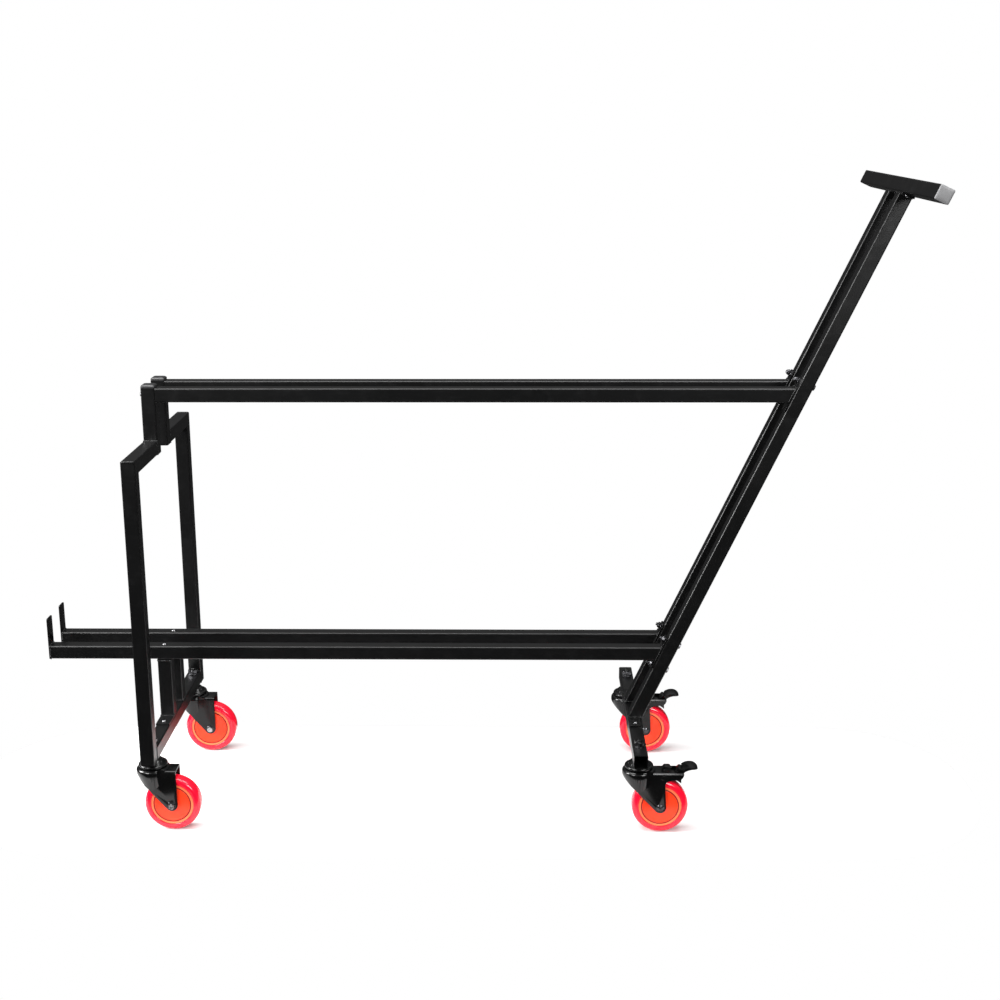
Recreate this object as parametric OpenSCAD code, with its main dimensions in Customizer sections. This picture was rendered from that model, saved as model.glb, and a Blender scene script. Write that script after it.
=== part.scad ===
// Queue-post cart: a front portal, two upper and two lower rails, two leaning
// rear posts with a push bar, and four swivel castors, the rear pair braked.
// Millimetres. +X runs from the loading end to the push bar, +Z is up.
// The -Y side is the left side for someone pushing; the floor is Z = 0.

/* [Frame] */
// Outside width of the front portal
frame_width = 425; // [360:5:600]
// Length of the rear cross tube, open at both ends
rear_width = 431; // [360:1:600]
// Distance between the two cross tubes
wheelbase = 867; // [600:1:1100]
// Outside size of every square tube
tube = 25; // [22:0.5:32]
// Wall of every square tube
wall = 1.5; // [1:0.1:2.5]
// Outside corner radius of every square tube
tube_corner = 2.5; // [1.5:0.1:4]
// Top of the portal shoulders above the floor
shoulder_height = 686; // [500:1:900]

/* [Rails] */
// Clear gap between two rails, where the queue posts stand
rail_gap = 50; // [40:1:90]
// Top of the upper rails above the floor
upper_rail_height = 780; // [620:1:980]
// Top of the lower rails above the floor
lower_rail_height = 300; // [240:1:420]
// Reach of the lower rails ahead of the front cross tube's centre
front_reach = 212; // [80:1:300]
// Rise of the end stops above the lower rails
stop_rise = 52; // [20:1:90]
// Thickness of every flat plate
plate = 3; // [2:0.5:5]

/* [Push bar] */
// Lean of the rear posts from vertical
lean = 24.8; // [10:0.1:35]
// Height of the push bar's lower front edge
bar_height = 1118; // [950:1:1250]
// Whole length of the push bar with its caps
bar_length = 536; // [300:1:700]

/* [Castors] */
// Wheel diameter
wheel_d = 100; // [75:1:125]
// Tyre width
tyre_width = 28; // [22:1:34]
// Room between the top of a wheel and the underside of the cross tubes
castor_headroom = 36; // [34:1:60]
// Trail of the front wheels behind their stems
front_trail = 33; // [25:1:45]
// Trail of the braked wheels behind their stems
brake_trail = 38; // [28:1:45]
// Distance from the portal leg to the castor stem
stem_inset = 15.5; // [13:0.5:30]

/* [Fits] */
// Radial clearance of every turning shaft
running = 0.05; // [0.02:0.01:0.1]
// Radial clearance of every bolt hole
slip = 0.25; // [0.15:0.05:0.5]

/* [Hidden] */
$fn = 48;
black = [0.07, 0.07, 0.075];
steel = [0.62, 0.63, 0.65];
red = [0.82, 0.04, 0.10];
orange = [0.93, 0.22, 0.10];

halfWidth = frame_width / 2;
castorTop = wheel_d + castor_headroom;
inGap = rail_gap / 2;
railY = inGap + tube / 2;
crossTop = castorTop + tube;
footTop = crossTop + plate;
upperBottom = upper_rail_height - tube;
lowerBottom = lower_rail_height - tube;
stemY = halfWidth - tube - stem_inset;
boreR = max(tube_corner - wall, 0.4);

// leaning frame: local x is square to the posts, local z runs up them
leanX = wheelbase - tube / 2;
postRun = (bar_height - footTop) / cos(lean);
upperSeat = (upper_rail_height - tube / 2 - footTop) / cos(lean);
lowerSeat = (lower_rail_height - tube / 2 - footTop) / cos(lean);
flangeLength = 2 * tube / cos(lean) + 9;
flangeBolt = flangeLength / 2 - 6.2;

// end points of the whole cart along X, which set the origin
backX = leanX + (tube - tube_corner) * cos(lean)
    + (postRun + tube - tube_corner) * sin(lean) + tube_corner;
midX = (backX - front_reach) / 2;

// feet
footReach = 40;
footScrew = inGap + tube + 26;

// fasteners
boltR = 3;
screwR = 2.5;
stemR = 5;
axleR = 4;
nutAcross = 17;

// castor
wheelR = wheel_d / 2;
wheelY = tyre_width / 2;
cheekIn = wheelY + 1.5;
cheekWall = 3;
cheekOut = cheekIn + cheekWall;
forkTop = castorTop - 20;
forkPlate = forkTop - 3;
crownTop = castorTop - 16;
raceBottom = crownTop + 0.6;
crownR = 30;
coneFoot = wheelR + 28;
hubR = wheelR * 0.76;
discR = wheelR * 0.637;
// brake
pinX = brake_trail + 4;
pinR = 3;
flapX = brake_trail + 52.5;
flapZ = forkTop + 10;
brakePin = forkPlate - 6;
shoeR = wheelR + 7;

// ---- shared shapes ----
module cart() { translate([-midX, 0, 0]) children(); }
module side(s) { if (s > 0) mirror([0, 1, 0]) children(); else children(); }
module both() { children(); mirror([0, 1, 0]) children(); }
module roundSquare(a, r) {
    square([a - 2 * r, a], center = true);
    square([a, a - 2 * r], center = true);
    for (x = [-1, 1], y = [-1, 1]) translate([x * (a / 2 - r), y * (a / 2 - r)]) circle(r);
}
module tubeOutline() {
    difference() {
        roundSquare(tube, tube_corner);
        roundSquare(tube - 2 * wall, boreR);
    }
}
module tubeZ(length) { linear_extrude(length) tubeOutline(); }
module tubeX(length) { rotate([90, 0, 90]) tubeZ(length); }
module tubeY(length) { rotate([-90, 0, 0]) tubeZ(length); }
module hole(r, length) { translate([0, 0, -length / 2]) cylinder(r = r, h = length); }
module holeX(r, length) { rotate([0, 90, 0]) hole(r, length); }
module leaning() { translate([leanX, 0, footTop]) rotate([0, lean, 0]) children(); }
module hexHead(across, height) { cylinder(r = across / 2 / cos(30), h = height, $fn = 6); }
module dome(r, height) {
    ball = (r * r + height * height) / 2 / height;
    rotate_extrude() intersection() {
        translate([0, height - ball]) circle(ball, $fn = 96);
        square([r, height]);
    }
}
module miterAbove(sign) {
    translate([-tube, -halfWidth, shoulder_height]) rotate([-45, 0, 0])
        translate([0, -2 * tube, sign > 0 ? 0 : -4 * tube]) cube([2 * tube, 4 * tube, 4 * tube]);
}

// ---- front portal ----
module portalLeg() {
    difference() {
        translate([0, -halfWidth + tube / 2, castorTop]) tubeZ(shoulder_height - castorTop);
        miterAbove(1);
    }
}
module shoulderTube() {
    difference() {
        translate([0, -halfWidth, shoulder_height - tube / 2]) tubeY(halfWidth - inGap - tube);
        miterAbove(-1);
    }
}
module innerPost() {
    difference() {
        translate([0, -railY, shoulder_height - tube]) tubeZ(upper_rail_height - shoulder_height + tube);
        translate([0, -railY, upper_rail_height - tube / 2]) holeX(boltR + slip, 2 * tube);
    }
}
module frontCross() {
    difference() {
        translate([0, -halfWidth + tube, castorTop + tube / 2]) tubeY(frame_width - 2 * tube);
        crossHoles(0);
    }
}
module crossHoles(x) {
    both() {
        translate([x, -stemY, castorTop + tube / 2]) hole(stemR + slip, 2 * tube);
        translate([x, -footScrew, crossTop]) hole(screwR + slip, tube);
    }
}
module postCap() {
    rise = 6.5;
    translate([0, -railY, upper_rail_height]) {
        linear_extrude(rise - 2.5) roundSquare(tube, tube_corner);
        translate([0, 0, rise - 2.5]) linear_extrude(1.25) roundSquare(tube - 2.2, tube_corner);
        translate([0, 0, rise - 1.25]) linear_extrude(1.25) roundSquare(tube - 5.5, tube_corner);
        translate([0, 0, -12]) difference() {
            linear_extrude(12) roundSquare(tube - 2 * wall, boreR);
            translate([-tube / 2 + wall + 2, -tube / 2 + wall + 2, -1])
                cube([tube - 2 * wall - 4, tube - 2 * wall - 4, 11]);
            translate([0, 0, -tube / 2 + 12]) holeX(boltR + slip + 0.6, 2 * tube);
        }
    }
}

// ---- feet and supports ----
module footPlate(x) {
    difference() {
        translate([x - tube / 2, -inGap - tube - footReach, crossTop]) cube([tube, tube + footReach, plate]);
        translate([x, -footScrew, crossTop]) hole(screwR + slip, tube);
    }
}
module supportPost() {
    footPlate(0);
    translate([0, -railY, footTop]) tubeZ(lowerBottom - footTop - plate);
    difference() {
        translate([-tube / 2, -inGap - tube, lowerBottom - plate]) cube([tube, tube, plate]);
        translate([0, -railY, lowerBottom]) hole(screwR + slip, tube);
    }
}

// ---- rails ----
// far enough along X for a rail to reach past its leaning end
function railRun(height) = leanX + (height - footTop) * tan(lean) + tube;
module railEndCut() {
    leaning() translate([-plate, -2 * tube - inGap, -4 * tube])
        cube([40 * tube, 4 * tube + rail_gap, postRun + 8 * tube]);
}
module lowerRail() {
    difference() {
        translate([-front_reach + plate, -railY, lowerBottom + tube / 2]) tubeX(front_reach + railRun(lower_rail_height));
        railEndCut();
        translate([0, -railY, lowerBottom + tube / 2]) hole(screwR + slip, 2 * tube);
    }
}
module railStop() {
    translate([-front_reach, -railY, lowerBottom]) rotate([90, 0, 90]) linear_extrude(plate) {
        translate([-tube / 2, 0]) square([tube, tube + stop_rise - 2]);
        translate([-tube / 2 + 2, 0]) square([tube - 4, tube + stop_rise]);
        for (y = [-1, 1]) translate([y * (tube / 2 - 2), tube + stop_rise - 2]) circle(2);
    }
}
module upperRail() {
    difference() {
        union() {
            translate([tube / 2, -railY, upperBottom + tube / 2]) tubeX(railRun(upper_rail_height));
            translate([tube / 2, -railY, upperBottom + tube / 2]) rotate([90, 0, 90])
                linear_extrude(plate) roundSquare(tube - 2 * wall, boreR);
        }
        railEndCut();
        translate([tube / 2, -railY, upperBottom + tube / 2]) holeX(boltR + slip, 2 * tube);
    }
}
module flangePlate(seat, lowerHole) {
    leaning() difference() {
        translate([-plate, -inGap - tube, seat - flangeLength / 2]) cube([plate, tube, flangeLength]);
        translate([0, -railY, seat + flangeBolt]) holeX(boltR + slip, tube);
        if (lowerHole) translate([0, -railY, seat - flangeBolt]) holeX(boltR + slip, tube);
    }
}

// ---- leaning posts and push bar ----
module leaningPost() {
    difference() {
        leaning() difference() {
            translate([tube / 2, -railY, -tube]) tubeZ(postRun + tube - plate);
            for (z = [upperSeat + flangeBolt, lowerSeat + flangeBolt, lowerSeat - flangeBolt])
                translate([0, -railY, z]) holeX(boltR + slip, 4 * tube);
        }
        translate([leanX - 4 * tube, -4 * tube - inGap, footTop - 4 * tube]) cube([8 * tube, 4 * tube + inGap, 4 * tube]);
    }
}
module rearCross() {
    difference() {
        translate([wheelbase, -rear_width / 2, castorTop + tube / 2]) tubeY(rear_width);
        crossHoles(wheelbase);
    }
}
module barTube() {
    leaning() difference() {
        translate([tube / 2, -bar_length / 2 + 3, postRun + tube / 2]) tubeY(bar_length - 6);
        both() translate([tube / 2, -barScrew(), postRun]) hole(screwR + slip, tube);
        translate([tube / 2, 0, postRun]) hole(screwR + slip, tube);
    }
}
function barScrew() = inGap + tube + 9;
module barPlate() {
    leaning() difference() {
        translate([1, -barScrew() - 8, postRun - plate]) cube([tube - 2, 2 * barScrew() + 16, plate]);
        both() translate([tube / 2, -barScrew(), postRun]) hole(screwR + slip, tube);
        translate([tube / 2, 0, postRun]) hole(screwR + slip, tube);
    }
}
module barCap() {
    leaning() translate([tube / 2, -bar_length / 2 + 3, postRun + tube / 2]) rotate([90, 0, 0]) {
        linear_extrude(1.6) roundSquare(tube, tube_corner);
        translate([0, 0, 1.6]) linear_extrude(0.8) roundSquare(tube - 2.4, tube_corner);
        translate([0, 0, 2.4]) linear_extrude(0.6) roundSquare(tube - 6, tube_corner);
        translate([0, 0, -12]) linear_extrude(12) roundSquare(tube - 2 * wall, boreR);
    }
}

// ---- fasteners ----
module hangerBolt() {
    translate([-tube / 2, -railY, upper_rail_height - tube / 2]) rotate([0, -90, 0]) {
        dome(4.6, 4.3);
        translate([0, 0, -tube - plate - 4]) cylinder(r = boltR, h = tube + plate + 4);
    }
}
module postBolt(z, domed) {
    leaning() translate([0, -railY, z]) rotate([0, -90, 0]) {
        translate([0, 0, -tube - 0.001]) cylinder(r = boltR, h = tube + plate + 6);
        translate([0, 0, -tube - 4]) hexHead(10, 4);
        translate([0, 0, plate]) cylinder(r = 6, h = 1.2);
        translate([0, 0, plate + 1.2]) hexHead(10, domed ? 4.5 : 5);
        if (domed) translate([0, 0, plate + 5.7]) dome(4.7, 4.5);
        else translate([0, 0, plate + 5.9]) cylinder(r = boltR, h = 4);
    }
}
module panScrew(length) {
    dome(4.6, 3);
    translate([0, 0, -length]) cylinder(r = screwR, h = length + 0.5);
}
module stemNut(x) {
    translate([x, -stemY, crossTop]) difference() {
        union() {
            cylinder(r = tube / 2 - 2.3, h = 1.6);
            translate([0, 0, 1.6]) hexHead(nutAcross, 8);
        }
        translate([0, 0, 5]) hole(stemR, 20);
    }
}

// ---- castor, origin on the floor under its stem, wheel trailing to +X ----
module castorPin() {
    difference() {
        rotate_extrude() {
            translate([0, forkPlate - 4]) square([9, 3.4]);
            translate([0, forkPlate - 4]) square([stemR, crossTop + 12.4 - forkPlate + 4]);
            translate([0, raceBottom]) square([22.5, 6.4]);
            translate([22.5, raceBottom + 3.2]) circle(3.2);
            polygon([[0, raceBottom + 6.4], [22.5, raceBottom + 6.4], [14, castorTop - 2], [0, castorTop - 2]]);
            translate([0, castorTop - 2]) square([12, 2]);
        }
    }
}
// the pressed crown: a domed edge that runs down into the cheeks as a cone
module crownProfile() {
    translate([0, forkPlate]) square([crownR - 6, crownTop - forkPlate]);
    translate([crownR - 6, crownTop - 6]) circle(6);
    polygon([[0, coneFoot], [cheekOut, coneFoot], [crownR, crownTop - 10], [crownR, crownTop - 6], [0, crownTop - 6]]);
}
module coneInside() {
    rotate_extrude() polygon([[0, coneFoot - 1], [cheekIn - 0.36, coneFoot - 1], [crownR - 3, crownTop - 10.4],
        [crownR - 3, forkPlate - 2], [crownR - 5, forkPlate], [0, forkPlate]]);
}
// straight line from a point to the round end of a cheek
function tangentPoint(p, c, r, sgn) =
    let (d = p - c, l = norm(d), a = atan2(d[1], d[0]) + sgn * acos(r / l)) c + r * [cos(a), sin(a)];
module cheekOutline(trail, braked) {
    axle = [trail, wheelR];
    e = brake_trail + 41;
    rightEdge = braked
        ? [[brake_trail + 8, forkTop - 24], [brake_trail + 8.6, forkTop - 20], [brake_trail + 11, forkTop - 16.5],
            [brake_trail + 16, forkTop - 14.4], [brake_trail + 22, forkTop - 13.6], [e - 9, forkTop - 13.2],
            [e - 5, forkTop - 11.5], [e - 2, forkTop - 8.5], [e, forkTop - 4], [e, forkTop + 9]]
        : [[trail + 10, forkTop - 3], [trail + 10, forkTop + 9]];
    polygon(concat([[-crownR - 1, forkTop + 9], [-crownR - 1, crownTop - 11],
        tangentPoint([-crownR - 1, crownTop - 11], axle, 10.5, 1), axle, tangentPoint(rightEdge[0], axle, 10.5, -1)], rightEdge));
    translate(axle) circle(10.5);
}
// sheet bent over into two cheeks, seen along X
module bentSheet() {
    r = 4;
    difference() {
        union() {
            translate([-cheekOut, 0]) square([2 * cheekOut, forkTop - r]);
            translate([-cheekOut + r, forkTop - 2 * r]) square([2 * (cheekOut - r), 2 * r]);
            for (y = [-1, 1]) translate([y * (cheekOut - r), forkTop - r]) circle(r);
        }
        translate([-cheekIn, -1]) square([2 * cheekIn, forkPlate + 1]);
    }
}
module forkSide(trail, braked) {
    rotate([90, 0, 0]) translate([0, 0, -crownR - 2]) linear_extrude(2 * crownR + 4) cheekOutline(trail, braked);
}
module forkBody(trail, braked) {
    difference() {
        intersection() {
            union() {
                translate([-14, 0, 0]) rotate([90, 0, 90]) linear_extrude(14 + trail + 50) bentSheet();
                intersection() {
                    rotate_extrude() crownProfile();
                    union() {
                        translate([-2 * crownR, -2 * crownR, 0]) cube([2 * crownR + 12, 4 * crownR, crownTop + 1]);
                        translate([0, -cheekOut, forkPlate]) cube([2 * crownR, 2 * cheekOut, 20]);
                    }
                }
            }
            forkSide(trail, braked);
        }
        intersection() {
            coneInside();
            translate([-2 * crownR, -2 * crownR, 0]) cube([2 * crownR + 9, 4 * crownR, crownTop]);
        }
        translate([-19, -cheekIn, 0]) cube([200, 2 * cheekIn, forkPlate]);
        hole(stemR + running, 4 * castorTop);
        translate([trail, 0, wheelR]) rotate([90, 0, 0]) hole(axleR + slip, 4 * cheekOut);
        if (braked) {
            translate([pinX, 0, brakePin]) rotate([90, 0, 0]) hole(pinR + slip, 4 * cheekOut);
            translate([brake_trail + 19, -cheekIn, forkPlate - 1]) cube([60, 2 * cheekIn, 12]);
        }
    }
}
module axleBolt(trail, braked) {
    translate([trail, 0, wheelR]) rotate([90, 0, 0]) {
        hole(axleR, 2 * cheekOut);
        both3() translate([0, 0, cheekOut]) {
            if (braked) dome(7, 3);
            else {
                cylinder(r = 7.2, h = 1.2);
                translate([0, 0, 1.2]) hexHead(10, 4.6);
            }
        }
    }
}
module tyreRing(trail) {
    r = 8;
    translate([trail, 0, wheelR]) rotate([90, 0, 0]) rotate_extrude($fn = 96) intersection() {
        translate([hubR, -wheelY]) square([wheelR - hubR, tyre_width]);
        union() {
            translate([0, -wheelY]) square([wheelR - r, tyre_width]);
            translate([0, -wheelY + r]) square([wheelR, tyre_width - 2 * r]);
            for (y = [-1, 1]) translate([wheelR - r, y * (wheelY - r)]) circle(r);
        }
    }
}
module hubDisc(trail) {
    translate([trail, 0, wheelR]) rotate([90, 0, 0]) rotate_extrude($fn = 96) difference() {
        union() {
            translate([axleR + running, -wheelY + 0.8]) square([hubR - axleR - running, tyre_width - 1.6]);
            translate([axleR + running, -wheelY - 1]) square([8, tyre_width + 2]);
        }
        for (y = [-1, 1]) translate([discR, y * (wheelY - 0.8) - 1]) square([1.3, 2]);
    }
}
module pedalBody() {
    difference() {
        union() {
            translate([0, 11, 0]) rotate([90, 0, 0]) linear_extrude(22) difference() {
                union() {
                    translate([pinX, brakePin]) circle(4.5);
                    polygon([[pinX, brakePin + 4.5], [brake_trail + 25, brakePin + 4.5], [brake_trail + 30, forkTop + 2],
                        [brake_trail + 32.5, forkTop + 5], [brake_trail + 35.5, forkTop + 5.2], [brake_trail + 41, forkTop + 1],
                        [brake_trail + 39, forkTop - 6], [brake_trail + 36, forkTop - 8],
                        [brake_trail + 37, forkTop - 16], [brake_trail + 37, wheelR + 35], [brake_trail + 20, wheelR + 50],
                        [brake_trail + 20, brakePin - 4], [pinX, brakePin - 4.5]]);
                }
                translate([brake_trail, wheelR]) circle(shoeR, $fn = 96);
            }
            intersection() {
                translate([0, 15, 0]) rotate([90, 0, 0]) linear_extrude(30) intersection() {
                    difference() {
                        translate([flapX, flapZ - 22.5]) circle(22.5, $fn = 96);
                        translate([flapX + 5.5, flapZ - 31.4]) circle(27, $fn = 96);
                    }
                    translate([flapX - 14.5, flapZ - 12]) square([28, 13]);
                }
                translate([0, 0, forkPlate - 20]) linear_extrude(60)
                    polygon([[flapX - 20, -16], [flapX + 3.5, -16], [flapX + 8.6, -14.1], [flapX + 12.2, -10.6],
                        [flapX + 13.4, -6], [flapX + 13.4, 6], [flapX + 12.2, 10.6], [flapX + 8.6, 14.1],
                        [flapX + 3.5, 16], [flapX - 20, 16]]);
            }
        }
        translate([pinX, 0, brakePin]) rotate([90, 0, 0]) hole(pinR + running, 60);
    }
}
module brakeFittings() {
    translate([pinX, 0, brakePin]) rotate([90, 0, 0]) {
        hole(pinR, 2 * cheekOut);
        both3() translate([0, 0, cheekOut]) cylinder(r = 3.8, h = 1.2);
    }
    translate([brake_trail + 4, 6.5, forkTop]) rotate([90, 0, 0]) linear_extrude(14)
        polygon([[0, 0], [0, 5], [3, 8], [11, 8], [14, 6], [15, 2.5], [13.5, 2], [12, 4.6], [3.9, 4.6], [3.9, 0]]);
}
module both3() { children(); mirror([0, 0, 1]) children(); }
module stand(x, s) { translate([x, s * stemY, 0]) side(s) children(); }

// ---- nodes ----
module front_leg_l() { color(black) cart() portalLeg(); }
module front_leg_r() { color(black) cart() side(1) portalLeg(); }
module front_cross_tube() { color(black) cart() frontCross(); }
module shoulder_l() { color(black) cart() shoulderTube(); }
module shoulder_r() { color(black) cart() side(1) shoulderTube(); }
module inner_post_l() { color(black) cart() innerPost(); }
module inner_post_r() { color(black) cart() side(1) innerPost(); }
module post_caps() { color(black) cart() both() postCap(); }
module support_post_l() { color(black) cart() supportPost(); }
module support_post_r() { color(black) cart() side(1) supportPost(); }
module lower_rail_l() { color(black) cart() lowerRail(); }
module lower_rail_r() { color(black) cart() side(1) lowerRail(); }
module stop_l() { color(black) cart() railStop(); }
module stop_r() { color(black) cart() side(1) railStop(); }
module upper_rail_l() { color(black) cart() upperRail(); }
module upper_rail_r() { color(black) cart() side(1) upperRail(); }
module upper_flange_l() { color(black) cart() flangePlate(upperSeat, false); }
module upper_flange_r() { color(black) cart() side(1) flangePlate(upperSeat, false); }
module lower_flange_l() { color(black) cart() flangePlate(lowerSeat, true); }
module lower_flange_r() { color(black) cart() side(1) flangePlate(lowerSeat, true); }
module rear_post_l() { color(black) cart() leaningPost(); }
module rear_post_r() { color(black) cart() side(1) leaningPost(); }
module rear_foot_l() { color(black) cart() footPlate(wheelbase); }
module rear_foot_r() { color(black) cart() side(1) footPlate(wheelbase); }
module rear_cross_tube() { color(black) cart() rearCross(); }
module push_bar() { color(black) cart() barTube(); }
module bar_plate() { color(black) cart() barPlate(); }
module bar_caps() { color(black) cart() both() barCap(); }
module hanger_bolts() { color(black) cart() both() hangerBolt(); }
module upper_bolts() { color(steel) cart() both() postBolt(upperSeat + flangeBolt, true); }
module lower_bolts() {
    color(steel) cart() both() {
        postBolt(lowerSeat + flangeBolt, false);
        postBolt(lowerSeat - flangeBolt, false);
    }
}
module screws() {
    color(steel) cart() {
        both() {
            translate([0, -railY, lower_rail_height]) panScrew(tube + plate);
            translate([0, -footScrew, footTop]) panScrew(plate + wall + 3);
            translate([wheelbase, -footScrew, footTop]) panScrew(plate + wall + 3);
            leaning() translate([tube / 2, -barScrew(), postRun - plate]) rotate([180, 0, 0]) panScrew(plate + wall + 3);
        }
        leaning() translate([tube / 2, 0, postRun - plate]) rotate([180, 0, 0]) panScrew(plate + wall + 3);
    }
}
module stem_nuts() { color(steel) cart() both() { stemNut(0); stemNut(wheelbase); } }
module fl_head() { color(black) cart() stand(0, -1) castorPin(); }
module fl_fork() { color(black) cart() stand(0, -1) forkBody(front_trail, false); }
module fl_axle() { color(steel) cart() stand(0, -1) axleBolt(front_trail, false); }
module fl_tyre() { color(red) cart() stand(0, -1) tyreRing(front_trail); }
module fl_hub() { color(orange) cart() stand(0, -1) hubDisc(front_trail); }
module fr_head() { color(black) cart() stand(0, 1) castorPin(); }
module fr_fork() { color(black) cart() stand(0, 1) forkBody(front_trail, false); }
module fr_axle() { color(steel) cart() stand(0, 1) axleBolt(front_trail, false); }
module fr_tyre() { color(red) cart() stand(0, 1) tyreRing(front_trail); }
module fr_hub() { color(orange) cart() stand(0, 1) hubDisc(front_trail); }
module rl_head() { color(black) cart() stand(wheelbase, -1) castorPin(); }
module rl_fork() { color(black) cart() stand(wheelbase, -1) forkBody(brake_trail, true); }
module rl_axle() { color(steel) cart() stand(wheelbase, -1) axleBolt(brake_trail, true); }
module rl_tyre() { color(red) cart() stand(wheelbase, -1) tyreRing(brake_trail); }
module rl_hub() { color(orange) cart() stand(wheelbase, -1) hubDisc(brake_trail); }
module rl_brake_fittings() { color(black) cart() stand(wheelbase, -1) brakeFittings(); }
module rl_pedal() { color(black) cart() stand(wheelbase, -1) pedalBody(); }
module rr_head() { color(black) cart() stand(wheelbase, 1) castorPin(); }
module rr_fork() { color(black) cart() stand(wheelbase, 1) forkBody(brake_trail, true); }
module rr_axle() { color(steel) cart() stand(wheelbase, 1) axleBolt(brake_trail, true); }
module rr_tyre() { color(red) cart() stand(wheelbase, 1) tyreRing(brake_trail); }
module rr_hub() { color(orange) cart() stand(wheelbase, 1) hubDisc(brake_trail); }
module rr_brake_fittings() { color(black) cart() stand(wheelbase, 1) brakeFittings(); }
module rr_pedal() { color(black) cart() stand(wheelbase, 1) pedalBody(); }

front_leg_l();
front_leg_r();
front_cross_tube();
shoulder_l();
shoulder_r();
inner_post_l();
inner_post_r();
post_caps();
support_post_l();
support_post_r();
lower_rail_l();
lower_rail_r();
stop_l();
stop_r();
upper_rail_l();
upper_rail_r();
upper_flange_l();
upper_flange_r();
lower_flange_l();
lower_flange_r();
rear_post_l();
rear_post_r();
rear_foot_l();
rear_foot_r();
rear_cross_tube();
push_bar();
bar_plate();
bar_caps();
hanger_bolts();
upper_bolts();
lower_bolts();
screws();
stem_nuts();
fl_head();
fl_fork();
fl_axle();
fl_tyre();
fl_hub();
fr_head();
fr_fork();
fr_axle();
fr_tyre();
fr_hub();
rl_head();
rl_fork();
rl_axle();
rl_tyre();
rl_hub();
rl_brake_fittings();
rl_pedal();
rr_head();
rr_fork();
rr_axle();
rr_tyre();
rr_hub();
rr_brake_fittings();
rr_pedal();
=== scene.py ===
import bpy, bmesh, math
from mathutils import Matrix, Vector


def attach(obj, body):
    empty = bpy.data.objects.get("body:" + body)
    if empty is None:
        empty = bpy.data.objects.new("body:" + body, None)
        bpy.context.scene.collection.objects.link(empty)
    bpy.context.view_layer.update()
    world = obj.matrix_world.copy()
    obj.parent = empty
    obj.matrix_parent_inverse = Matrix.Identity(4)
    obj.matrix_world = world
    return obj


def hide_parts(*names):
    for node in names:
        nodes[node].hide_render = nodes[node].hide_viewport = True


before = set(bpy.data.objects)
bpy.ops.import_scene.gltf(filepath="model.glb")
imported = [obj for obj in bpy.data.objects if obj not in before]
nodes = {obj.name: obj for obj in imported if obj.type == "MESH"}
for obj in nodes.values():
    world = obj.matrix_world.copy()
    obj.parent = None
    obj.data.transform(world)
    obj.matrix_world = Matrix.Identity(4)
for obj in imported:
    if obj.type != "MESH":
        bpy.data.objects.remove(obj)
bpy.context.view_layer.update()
print("frame loaded:", len(nodes), "nodes")
mm = 0.001


class Wire:
    def __init__(self, finish, socket):
        self.finish, self.socket = finish, socket

    def maths(self, operation, *values):
        return self.finish.make("ShaderNodeMath", {"operation": operation}, dict(enumerate(values)))

    def __add__(self, other): return self.maths("ADD", self, other)
    def __radd__(self, other): return self.maths("ADD", other, self)
    def __sub__(self, other): return self.maths("SUBTRACT", self, other)
    def __rsub__(self, other): return self.maths("SUBTRACT", other, self)
    def __mul__(self, other): return self.maths("MULTIPLY", self, other)
    def __rmul__(self, other): return self.maths("MULTIPLY", other, self)
    def __truediv__(self, other): return self.maths("DIVIDE", self, other)
    def __rtruediv__(self, other): return self.maths("DIVIDE", other, self)
    def __pow__(self, other): return self.maths("POWER", self, other)

    def clamped(self, low=0.0, high=1.0):
        return self.maths("MINIMUM", self.maths("MAXIMUM", self, low), high)

    def ramp(self, start, end):
        return ((self - start) / (end - start)).clamped()


class Finish:
    def __init__(self, name, **fixed):
        self.material = bpy.data.materials.new(name)
        self.material.use_nodes = True
        self.tree = self.material.node_tree
        self.shader = self.tree.nodes["Principled BSDF"]
        for key, value in fixed.items():
            self.shader.inputs[key.replace("_", " ")].default_value = value
        self.place = Wire(self, self.tree.nodes.new("ShaderNodeTexCoord").outputs["Object"])

    def make(self, kind, settings=None, values=None, out=0):
        node = self.tree.nodes.new(kind)
        for key, value in (settings or {}).items():
            setattr(node, key, value)
        for key, value in (values or {}).items():
            if isinstance(value, Wire):
                self.tree.links.new(value.socket, node.inputs[key])
            else:
                node.inputs[key].default_value = value
        return Wire(self, node.outputs[out])

    def noise(self, scale, detail=2.0, rough=0.5, where=None):
        return self.make("ShaderNodeTexNoise", {}, {"Vector": where or self.place, "Scale": scale,
                                                    "Detail": detail, "Roughness": rough})

    def stretched(self, *scale):
        return self.make("ShaderNodeMapping", {}, {"Vector": self.place, "Scale": scale})

    def mix(self, amount, first, second):
        values = {0: amount, 6: first if isinstance(first, Wire) else (*first, 1),
                  7: second if isinstance(second, Wire) else (*second, 1)}
        return self.make("ShaderNodeMix", {"data_type": "RGBA"}, values, 2)

    def feed(self, **wires):
        for key, value in wires.items():
            self.tree.links.new(value.socket, self.shader.inputs[key.replace("_", " ")])
        return self

    def relief(self, height, strength=0.2, distance=0.0002):
        self.feed(Normal=self.make("ShaderNodeBump", {}, {"Height": height, "Strength": strength, "Distance": distance}))
        return self.material


coat = {"colour": (0.0016, 0.0016, 0.0017), "dusty": (0.0042, 0.0042, 0.0044), "grain": 900.0, "roughness": 0.30}


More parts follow.
